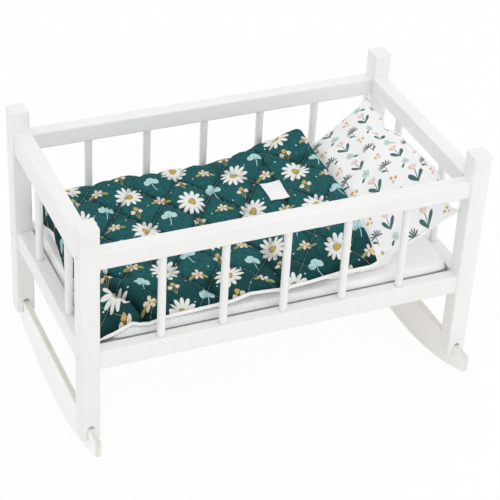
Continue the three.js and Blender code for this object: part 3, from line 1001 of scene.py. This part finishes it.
def mattress_height(x, y):
    """The mattress's top: a low crown, drawn down at the corners and under the hanging quilt, with soft dents."""
    s, t = x / mattress_high.x, y / mattress_high.y
    crown = mattress_crown * (1 - np.abs(s) ** 4) * (1 - np.abs(t) ** 4)
    dents = waves(x, y, mattress_dents)
    flat = mattress_top - mattress_crown - 1.0 * MM
    along, across = mattress_insets(x, y)
    pleats = corner_pleat * np.sin(np.arctan2(across, along) * pleats_round_corner)
    free = flat + crown + dents - (corner_pinch + pleats) * mattress_corner(x, y) + corner_gather(x, y)
    over = np.clip(y, quilt_low.y, quilt_high.y - roll_reach)
    pressed = quilt_rest(np.clip(x, quilt_low.x, quilt_high.x), over) - 0.3 * MM
    return np.where(x < quilt_high.x, np.minimum(free, pressed), free)


def mattress_surface(x, y):
    """The mattress's top with its edges rounded off, for what lies against it."""
    edge = rounded(np.minimum(*mattress_insets(x, y)), mattress_round)
    return mattress_seam + (mattress_height(x, y) - mattress_seam) * edge


def make_mattress():
    """A boxed pad: the top follows its height, the edges are rounded and the base is flat. The foot end is pressed
    in where the quilt hangs over it, and the head end swells a little over the rail."""
    s, t = grid(*(crowded(count, mattress_crowding) for count in mattress_grid))
    x, y = s * mattress_high.x, t * mattress_high.y
    fill = np.prod([rounded(inset, mattress_round) for inset in mattress_insets(x, y)], axis=0)
    y = y * (1 + side_bulge / mattress_high.y * (1 - s**24))
    rise = (mattress_height(x, y) - mattress_seam) * fill
    pressed = foot_press * foot_hang(y) * smooth_step((mattress_low.x + 30 * MM - x) / (28 * MM))
    over = smooth_step((x - 205 * MM) / (28 * MM)) * smooth_step((rise - 10 * MM) / (4 * MM))
    swelled = (head_swell * (1 - t**6) + tuft_swell * bell(y + 113 * MM, 7 * MM)) * over
    upper = np.stack([x + pressed * smooth_step(rise / (6 * MM)) + swelled, y, mattress_seam + rise], -1)
    lower = np.stack([x, y, mattress_seam - (mattress_seam - mattress_low.z - 0.2 * MM) * fill], -1)
    piece = pad_object("waffle_mattress", upper, lower, np.stack([x, y], -1), second=False)
    finish_piece(piece, "mattress", "mattress_cotton", waffle_cotton)
    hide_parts("mattress")


# Pillow


def pillow_seam(x, y):
    """Height of the pillow's seam: it slopes up ever more steeply to the head end, and drops to the front edge over
    a reach that is short at the head end."""
    along = np.clip((x - pillow_start) / pillow_length, 0, 1)
    reach = pillow_drop_reach - (pillow_drop_reach - pillow_drop_reach_at_head) * along**2
    drop = pillow_drop * along * smooth_step(1 - (y + pillow_half) / reach)
    return mattress_top + soft_gap + pillow_nose + pillow_rise * along**pillow_rise_bend - drop


def pillow_envelope(x, y):
    """The highest that the pillow's top may reach: its seam level and half its thickness, fuller than the CAD."""
    s = np.clip(np.abs((x - pillow_start) / pillow_length * 2 - 1), 0, 1)
    t = np.clip(np.abs(y / pillow_half), 0, 1)
    pressed = pillow_under_quilt + (1 - pillow_under_quilt) * smooth_step((x - quilt_high.x + 8 * MM) / (20 * MM))
    return pillow_seam(x, y) + pressed * pillow_thickness / 2 * fullness(s, 3) * fullness(t, 3)


def pillow_flip(s, t):
    """How far the front corner at the head end is flipped up and out: 1 at the corner."""
    return smooth_step((s - 0.5) / 0.5) * smooth_step((-t - 0.62) / 0.38)


def pillow_plan(s, t):
    """Plan places: the edges are drawn in between the corners, which stay out as ears. The head edge has a dip,
    and the front corner at the head end reaches a little further out."""
    head = smooth_step((s + 0.4) / 1.4)
    dip = head_dip * bell(t - 0.4, 0.12)
    drawn = pillow_ear * (1 - np.abs(t) ** 9) * (0.8 + 0.2 * smooth_step((t + 0.6) / 0.8)) + dip
    drawn = drawn + side_draw * smooth_step((t - 0.55) / 0.45)
    x = pillow_start + (s + 1) / 2 * (pillow_length - 0.4 * MM) - drawn * head
    side = side_draw * (1 - np.abs(s) ** 8)
    y = t * (pillow_half - 1 * MM - side) - flip_out * pillow_flip(s, t)
    return x, y


def make_pillow():
    """Two grids that meet at the seam, each half the thickness off the seam level, then swelled by cloth."""
    s, t = grid(*(crowded(count, pillow_crowding) for count in pillow_grid))
    x, y = pillow_plan(s, t)
    seam = pillow_seam(x, y)
    half = pillow_thickness / 2 - 3 * MM
    above = fullness(s, 3) * fullness(t, 3)
    hanging = smooth_step((pillow_lies_to - x) / (22 * MM))
    below = fullness(s, 3) * np.where(t < 0, fullness(t, 9) * hanging + (1 - t**2) * (1 - hanging), fullness(t, 3))
    seam = seam + flip_up * pillow_flip(s, t)
    down = hanging * fullness(s, 5) * smooth_step((-t - 0.1) / 0.4) * fullness(t, 13)
    bottom = (seam - half * below) * (1 - down) + (mattress_surface(x, y) + 0.8 * MM) * down
    crease = waves(x, y, pillow_wrinkles) * above
    edge_x, edge_y = (1 - np.abs(s)) * pillow_length / 2, (1 - np.abs(t)) * pillow_half
    wander = 3 * soft_noise(x, y, 30 * MM, 33)
    gathers = np.sin(y / gather_pitch + wander) * np.exp(-edge_x / gather_reach)
    gathers = gathers + np.sin(x / gather_pitch + wander) * np.exp(-edge_y / gather_reach)
    crease = crease + gather_depth * gathers * above
    upper = np.stack([x, y, seam + half * above + crease], -1)
    lower = np.stack([x, y, bottom + crease * 0.5], -1)
    uv = np.stack([x * pillow_print_stretch, y], -1)
    piece = pad_object("stuffed_pillow", upper, lower, uv)
    cap = swell_at_seam + swell_inside * above
    swell(piece, np.concatenate([cap.ravel(), cap[1:-1, 1:-1].ravel()])[:, None])
    hold_pillow(piece)
    seam_points = read_points(piece)[ring_numbers(*pillow_grid)]
    with_settings(piece.modifiers.new("finer", "SUBSURF"), levels=1, render_levels=1)
    finish_piece(piece, "pillow", "pillow_cotton", pillow_print, white_cotton)
    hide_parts("pillow")
    path = even_path(seam_points, pillow_seam_points)
    front = smooth_step((-path[:, 1] - 100 * MM) / (14 * MM))
    radius = pillow_seam_radius + (pillow_front_seam_radius - pillow_seam_radius) * front
    hem = tube_object("pillow_edge_seam", path, radius[:, None, None], 8)
    finish_piece(hem, "pillow", "pillow_cotton", white_cotton)


def ring_numbers(rows, columns):
    """The numbers of the points round the edge of a grid, in order."""
    number = np.arange(rows * columns).reshape(rows, columns)
    return np.concatenate([number[:-1, 0], number[-1, :-1], number[:0:-1, -1], number[0, :0:-1]])


def even_path(path, count):
    """A closed path again, with its points at even steps along it."""
    step = np.linalg.norm(np.roll(path, -1, 0) - path, axis=1)
    along = np.concatenate([[0], np.cumsum(step)])
    wanted = np.linspace(0, along[-1], count)[:-1]
    closed = np.concatenate([path, path[:1]])
    return np.stack([np.interp(wanted, along, closed[:, n]) for n in range(3)], -1)


def swell(piece, cap):
    """Blows the cloth up by its inner pressure without gravity, and holds each point within the cap of its start."""
    start = read_points(piece)
    cloth = piece.modifiers.new("cloth", "CLOTH")
    with_settings(cloth.settings, **pillow_cloth)
    cloth.settings.effector_weights.gravity = 0
    cloth.collision_settings.use_collision = False
    with_settings(cloth.point_cache, frame_start=1, frame_end=swelling_frames)
    for number in range(1, swelling_frames + 1):
        bpy.context.scene.frame_set(number)
    move = read_points(piece.evaluated_get(bpy.context.evaluated_depsgraph_get())) - start
    size = np.linalg.norm(move, axis=1)[:, None]
    move *= np.minimum(1, cap / np.maximum(size, 1e-9))
    piece.modifiers.remove(cloth)
    bpy.context.scene.frame_set(1)
    write_points(piece, start + move)


def read_points(piece):
    """The piece's points, one row each."""
    flat = np.empty(len(piece.data.vertices) * 3)
    piece.data.vertices.foreach_get("co", flat)
    return flat.reshape(-1, 3)


def write_points(piece, points):
    """Puts each of the piece's points where the array says."""
    piece.data.vertices.foreach_set("co", points.ravel())
    piece.data.update()


def hold_pillow(piece):
    """Keeps the pillow between the mattress and its envelope, and clear of the head rail and the posts."""
    points = read_points(piece)
    x, y = points[:, 0], points[:, 1]
    ceiling = pillow_envelope(x, y) + 0.5 * MM
    free = smooth_step((x - quilt_high.x - 4 * MM) / (12 * MM))
    points[:, 2] = np.clip(points[:, 2], mattress_surface(x, y) + soft_gap, ceiling + 25 * MM * free)
    points[:, 0] = np.clip(x, pillow_start - 4 * MM, pillow_high.x - 0.2 * MM)
    points[:, 1] = np.clip(y, -pillow_half - 9 * MM, pillow_half + 3 * MM)
    write_points(piece, points)


# Quilt


def quilt_rest(x, y):
    """What the quilt lies on: the bed and the pillow, brought by a smooth step to the hem's height in front."""
    edge = np.interp(x, *front_hem) - seam_below_hem
    near = 1 - smooth_step((y - quilt_low.y) / hem_reach)
    return bed_and_pillow(x, y) + (edge - bed_and_pillow(x, quilt_low.y + 0 * y)) * near


def bed_and_pillow(x, y):
    """The mattress or the pillow's envelope, joined by a smooth step, less the foot end's fall and with its lobe."""
    over = smooth_step((x - pillow_start + quilt_ramp) / quilt_ramp)
    held = pillow_envelope(np.maximum(x, pillow_start), np.clip(y, *pillow_carries))
    lift = np.clip(held - mattress_top, 0, None) + 2 * MM
    lobe = np.clip(foot_edge(y) - mattress_top - soft_gap, 0, None)
    lobe = lobe * smooth_step((lobe_end - x) / (48 * MM))
    return mattress_top + soft_gap + lift * over + lobe - foot_drop(x, y)


def front_reach(y):
    """How strong the front folds are: 1 at the hem, 0 from their reach inwards."""
    return np.clip(1 - (y - quilt_low.y) / front_fold_reach, 0, 1)


def crease_slant(x, y):
    """The place along X from the deep crease, whose line slants towards the foot as it runs inwards."""
    return x - deep_crease_start[0] + (y - deep_crease_start[1]) * deep_crease_lean


def front_folds(x, y):
    """Folds that run in from the front hem: one deep crease with a ridge beside it near the foot, and soft
    hollows and swellings, each a bell curve across its line, that fade inwards."""
    reach = front_reach(y)
    slant = crease_slant(x, y)
    ridges = bell(slant + 17 * MM, 10 * MM) + bell(slant - 19 * MM, 14 * MM)
    folds = deep_crease * (ridges - bell(slant, 6.5 * MM)) * smooth_step(reach * 2.4)
    for place, height, width in soft_folds:
        folds = folds + height * MM * bell(x - place * MM, width * MM) * smooth_step(reach * 1.6)
    return folds


def quilt_rise(x, y):
    """Height over what the quilt lies on: the slope up to the tucked back, the folds, and slow waves."""
    back = (y - quilt_low.y) / quilt_width
    slope = smooth_step(back) * 0.72 + np.clip(back, 0, 1) * 0.28
    rise = quilt_back_rise * slope * smooth_step((quilt_high.x - x + 20 * MM) / quilt_rise_fade)
    across, along = (y - crest_start[1]) / (42 * MM), (x - crest_start[0]) / (56 * MM)
    crest = quilt_crest * smooth_step(across) * smooth_step(along)
    return rise + crest + front_folds(x, y) + waves(x, y, quilt_waves)


def diamond_places(x, v):
    """Two numbers that are whole along the two families of stitch lines."""
    a = (x - diamond_start[0]) / diamond_along
    b = (v - diamond_start[1]) / diamond_across
    return a + b, a - b


def diamond_puff(x, v):
    """Each diamond swells as the root of four p (1 - p) both ways, with small puckers along the stitching."""
    p, q = diamond_places(x, v)
    fp, fq = p - np.floor(p), q - np.floor(q)
    swell_p, swell_q = 4 * fp * (1 - fp), 4 * fq * (1 - fq)
    body = (swell_p * swell_q) ** 0.4
    pucker_p = np.exp(-swell_p * 4) * np.sin(q * pucker_turn + soft_noise(x, v, 15 * MM, 21) * 3)
    pucker_q = np.exp(-swell_q * 4) * np.sin(p * pucker_turn + soft_noise(x, v, 15 * MM, 22) * 3)
    uneven = 1 + 0.25 * soft_noise(x, v, 47 * MM, 23)
    puckers = pucker_height * (pucker_p * swell_q + pucker_q * swell_p)
    return quilt_puff * body * uneven + puckers + waves(x, v, quilt_crinkle) * body


def quilt_cloth(rows, columns):
    """Cloth places: x from the foot edge to the head edge, crowded at both, and v from the front edge to the end
    of the roll, crowded at the front."""
    x = quilt_low.x + (crowded(rows, quilt_crowding) + 1) / 2 * quilt_length
    share = np.linspace(0, 1, columns)
    share = share - 0.035 * np.sin(share * np.pi) * (1 - share)
    v = quilt_low.y + share * (quilt_width - roll_reach + roll_cloth)
    return grid(x, v)


def quilt_overhang(x, y):
    """How far the hanging foot end stands out past the quilt's plan."""
    return foot_stand_off * foot_hang(y) * smooth_step((quilt_low.x + 20 * MM - x) / (20 * MM))


def cloth_along(x, y):
    """The cloth's own measure along X: the plan place, less most of the cloth's fall over the foot end."""
    loft = np.clip(quilt_loft + quilt_rise(x, y) - quilt_seam, 0, None)
    fall = foot_drop(x, y) + loft * (1 - rounded(x - quilt_low.x, quilt_edge_round))
    return x - fall * cloth_in_fall


def quilt_upper(x, v):
    """The upper cloth: over the bed it lies at its rise above the rest, rounded off at the edges. Past the start
    of the roll it goes round a half ellipse, as high as the quilt is there, and ends tucked under."""
    start = quilt_high.y - roll_reach
    y = np.minimum(v, start)
    turn = np.clip((v - start) / roll_cloth, 0, 1) * roll_turn
    rest = quilt_rest(x, y)
    ends = rounded(x - quilt_low.x, quilt_edge_round) * rounded(quilt_high.x - x, quilt_edge_round)
    loft = np.maximum(quilt_loft + quilt_rise(x, y) - quilt_seam, -0.5 * quilt_seam)
    high = rest + quilt_seam + loft * ends * rounded(v - quilt_low.y, quilt_edge_round)
    half = (high - rest - quilt_seam * 0.6) / 2
    place_y = y + roll_reach * np.sin(turn)
    place_z = high - half * (1 - np.cos(turn))
    flat = np.stack([x - quilt_overhang(x, y), place_y, place_z], -1)
    normal = unit(np.cross(np.gradient(flat, axis=0), np.gradient(flat, axis=1)))
    inside = np.minimum.reduce([x - quilt_low.x, quilt_high.x - x, v - quilt_low.y])
    tucked = np.clip((roll_turn - turn) / 0.6, 0, 1)
    puff = diamond_puff(cloth_along(x, y), v) * np.clip(inside / (14 * MM), 0, 1) ** 0.7
    puff = puff * tucked * (1 - front_flattening * front_reach(y))
    return flat + normal * puff[..., None]


def make_quilt():
    """The upper cloth, and the white lower cloth on what the quilt lies on, which curves up to the seam all round."""
    x, v = quilt_cloth(*quilt_grid)
    upper = quilt_upper(x, v)
    end = upper[:, -1:, 1]
    y = quilt_low.y + (v - quilt_low.y) / (v[:, -1:] - quilt_low.y) * (end - quilt_low.y)
    inside = np.minimum.reduce([x - quilt_low.x, quilt_high.x - x, y - quilt_low.y, end - y])
    tuck = 1 - rounded(inside, 5 * MM)
    bottom = quilt_rest(x, y) + 0.1 * MM + (quilt_seam - 0.2 * MM) * tuck
    lower = np.stack([x - quilt_overhang(x, y), y, bottom], -1)
    piece = pad_object("diamond_quilt", upper, lower, np.stack([cloth_along(x, y), v], -1))
    mark_hollow_shade(piece, upper, x, y)
    finish_piece(piece, "quilt", "quilt_cotton", quilt_print, white_cotton)
    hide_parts("quilt")
    path = even_path(upper.reshape(-1, 3)[ring_numbers(*quilt_grid)], piping_points)
    front = 1 - smooth_step((path[:, 1] - quilt_low.y - 1 * MM) / (6 * MM))
    foot = 1 - smooth_step((path[:, 0] - quilt_low.x - 2 * MM) / (8 * MM))
    radius = (piping_radius + piping_more_in_front * front) * (1 - 0.4 * foot)
    piping = tube_object("quilt_edge_piping", path, radius[:, None, None])
    finish_piece(piping, "quilt", "quilt_cotton", white_cotton)


def mark_hollow_shade(piece, upper, x, y):
    """Keeps for each point, from 0 to 1, how deep it lies below the mean of the cloth around it or in the crease,
    as the amount of painted shade that the quilt's material lays there.
    """
    height = upper[..., 2]
    around, deep = height.copy(), np.zeros(height.shape)
    for step in range(smoothing_steps):
        around = mean_of_four(np.pad(around, 1, mode="edge"))
        if step == fine_smoothing_step:
            deep += fine_hollow_share * np.clip((around - height) / fine_hollow, 0, 1)
    # Painted shade all along the deep crease, added to that of its depth
    crease = bell(crease_slant(x, y), 9 * MM) * smooth_step(front_reach(y) * 2)
    deep = np.clip(deep + np.clip((around - height) / broad_hollow, 0, 1) + crease, 0, 1)
    values = np.zeros(len(piece.data.vertices), np.float32)
    values[: deep.size] = deep.ravel()
    layer = piece.data.attributes.new("hollow_shade", "FLOAT", "POINT")
    layer.data.foreach_set("value", values)


def heights_under(plan, target):
    """The target's height under each place of a plan grid: a flat probe above it is projected straight down."""
    rows, columns = plan.shape[:2]
    above = np.dstack([plan, np.full((rows, columns), 1.0)])
    probe = make_object("probe", above, grid_quads(rows, columns))
    down = with_settings(probe.modifiers.new("down", "SHRINKWRAP"), target=target, wrap_method="PROJECT")
    with_settings(down, use_project_z=True, use_positive_direction=False, use_negative_direction=True)
    height = read_points(probe.evaluated_get(bpy.context.evaluated_depsgraph_get()))[:, 2]
    bpy.data.objects.remove(probe)
    return height.reshape(rows, columns)


def laid_over(ground, steps):
    """Heights of taut cloth over the ground: each point goes to the mean of its neighbours, again and again, but
    never below the ground. Points on an edge use their neighbours along it, and the corners stay down."""
    height = ground.copy()
    for step in range(steps):
        calm = height.copy()
        calm[1:-1, 1:-1] = mean_of_four(height)
        calm[1:-1, [0, -1]] = (height[:-2, [0, -1]] + height[2:, [0, -1]]) / 2
        calm[[0, -1], 1:-1] = (height[[0, -1], :-2] + height[[0, -1], 2:]) / 2
        height = np.maximum(calm, ground)
    return height


def make_tag():
    """A bare rectangle of cloth laid taut over the quilt, with a hem round its edge."""
    along, across = grid(*(np.linspace(0, 1, count) for count in tag_grid))
    back_foot, back_head, front_head, front_foot = tag_corners
    left = front_foot + (back_foot - front_foot) * across[..., None]
    right = front_head + (back_head - front_head) * across[..., None]
    plan = left + (right - left) * along[..., None]
    ground = heights_under(plan, bpy.data.objects["diamond_quilt"])
    inside = np.minimum(np.minimum(along, 1 - along) * tag_long, np.minimum(across, 1 - across) * tag_wide)
    hem = tag_hem_height * smooth_step((tag_hem_width - inside) / (0.8 * MM))
    upper = np.dstack([plan, laid_over(ground + soft_gap, tag_smoothing) + 0.6 * MM + hem])
    lower = upper - np.array([0, 0, tag_thickness])
    edge = ring_numbers(*tag_grid)
    lower.reshape(-1, 3)[edge] = upper.reshape(-1, 3)[edge]
    piece = pad_object("bare_tag", upper, lower, plan, second=False)
    finish_piece(piece, "quilt", "quilt_cotton", white_cotton)


# Stage


def seen_plainly(w):
    """1 where a thing is seen straight, in a mirror or through glass, and 0 where it only lights others."""
    rays = {ray.socket.name: ray for ray in w.node("ShaderNodeLightPath")}
    return w.largest([rays[f"Is {kind} Ray"] for kind in ("Camera", "Glossy", "Transmission")])


def make_floor():
    """A plain pale floor. Seen directly it is mostly white of its own, and keeps a light shadow."""
    points = np.array([[-6, -6, 0], [6, -6, 0], [6, 6, 0], [-6, 6, 0]], float) - np.array([0, 0, 0.0002])
    floor = make_object("pale_floor", points, np.array([[0, 1, 2, 3]]))
    w = Finish("pale_floor")
    diffuse = w.node("ShaderNodeBsdfDiffuse", {0: (floor_tone, floor_tone, floor_tone, 1)})[0]
    glow = w.node("ShaderNodeEmission", {0: (1, 1, 1, 1)})[0]
    blend = w.node("ShaderNodeMixShader", {0: seen_plainly(w) * floor_glow, 1: diffuse, 2: glow})[0]
    w.node("ShaderNodeOutputMaterial", {0: blend})
    floor.data.materials.append(w.material)


def make_light():
    """An even white surround, with large soft lamps that add a little from above and from the front."""
    world = bpy.data.worlds.new("studio")
    bpy.context.scene.world = world
    world.use_nodes = True
    w = Wires(world.node_tree)
    strength = seen_plainly(w) * (1.0 - sky_strength) + sky_strength
    sky = w.node("ShaderNodeBackground", {0: (1, 1, 1, 1), 1: strength})[0]
    w.node("ShaderNodeOutputWorld", {0: sky})
    for name, (place, size, power) in lamps.items():
        light = with_settings(bpy.data.lights.new(name, "AREA"), shape="SQUARE", size=size, energy=power)
        add_object(name, light).matrix_world = facing(place, np.array(lamp_target) - place)


def facing(place, look, roll=0.0):
    """The matrix of a thing at a place that looks one way, with its top up but for the roll."""
    look = unit(np.array(look))
    right = unit(np.cross(look, (0, 0, 1)))
    up = np.cross(right, look)
    across = right * math.cos(roll) + up * math.sin(roll)
    above = up * math.cos(roll) - right * math.sin(roll)
    matrix = np.eye(4)
    matrix[:3, 0], matrix[:3, 1], matrix[:3, 2], matrix[:3, 3] = across, above, -look, place
    return Matrix(matrix.tolist())


def make_camera():
    """The photograph's camera."""
    data = bpy.data.cameras.new("photo_view")
    with_settings(data, lens=camera_lens, sensor_width=camera_sensor, clip_end=20)
    flat = math.cos(camera_elevation)
    look = (-math.sin(camera_azimuth) * flat, math.cos(camera_azimuth) * flat, -math.sin(camera_elevation))
    camera = add_object("photo_view", data)
    camera.matrix_world = facing(camera_place, look, camera_roll)
    bpy.context.scene.camera = camera


make_camera()
make_light()
make_floor()
dress_cad_wood()
for spindle_name in spindle_names:
    make_spindle(spindle_name)
make_rocker("rocker_foot")
make_rocker("rocker_head")
make_mattress()
make_pillow()
make_quilt()
make_tag()

bpy.context.scene.view_settings.view_transform = "Standard"
